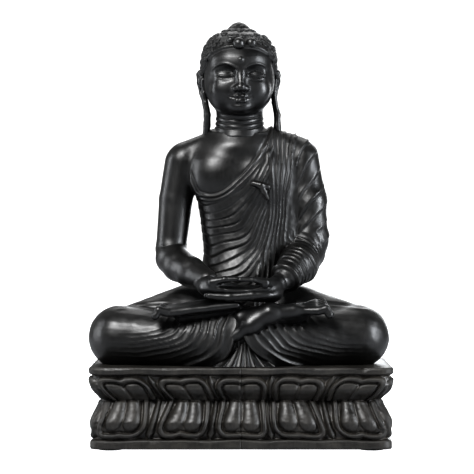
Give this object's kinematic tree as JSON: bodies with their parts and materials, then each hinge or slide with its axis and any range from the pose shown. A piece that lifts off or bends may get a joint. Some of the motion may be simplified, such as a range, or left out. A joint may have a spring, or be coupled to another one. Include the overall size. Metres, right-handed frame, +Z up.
{
  "type": "seated figure statue",
  "caption": "Cross-legged meditation figure in dark polished wood on a rectangular double-lotus pedestal, free-standing.",
  "frame": {"origin": "middle of the plane that the felt pads stand on", "axes": "+Z up, the figure faces -Y, +X towards the figure's left side along the pedestal's length"},
  "size_m": [0.215, 0.112, 0.305],
  "materials": {
    "figure_wood": "dark ebony-stained hardwood, rubbed satin polish",
    "pedestal_wood": "dark ebony-stained hardwood, duller satin",
    "dowel_wood": "plain birch dowel",
    "board_wood": "stained thin board",
    "brass_screw": "satin brass",
    "steel_screw": "zinc-plated steel",
    "felt": "pressed wool felt"
  },
  "bodies": {
    "root": {"lap_block": "figure_wood", "torso_block": "figure_wood", "head_block": "figure_wood", "crown_knob": "figure_wood", "hem_fan": "figure_wood", "right_upper_arm": "figure_wood", "left_upper_arm": "figure_wood", "right_forearm": "figure_wood", "left_forearm": "figure_wood", "right_ear": "figure_wood", "left_ear": "figure_wood", "right_foot": "figure_wood", "left_foot": "figure_wood", "right_hand": "figure_wood", "left_hand": "figure_wood", "seam_dowels": "dowel_wood", "locating_pegs": "dowel_wood", "lap_dowels": "dowel_wood", "neck_dowel": "dowel_wood", "shoulder_dowels": "dowel_wood", "elbow_dowels": "dowel_wood", "wrist_dowels": "dowel_wood", "foot_dowels": "dowel_wood", "crown_peg": "dowel_wood", "ear_pins": "dowel_wood", "pedestal_right_block": "pedestal_wood", "pedestal_left_block": "pedestal_wood", "base_board": "board_wood", "base_board_screws": "brass_screw", "fixing_screws": "steel_screw", "screw_washers": "steel_screw", "felt_pads": "felt"}
  },
  "joints": []
}
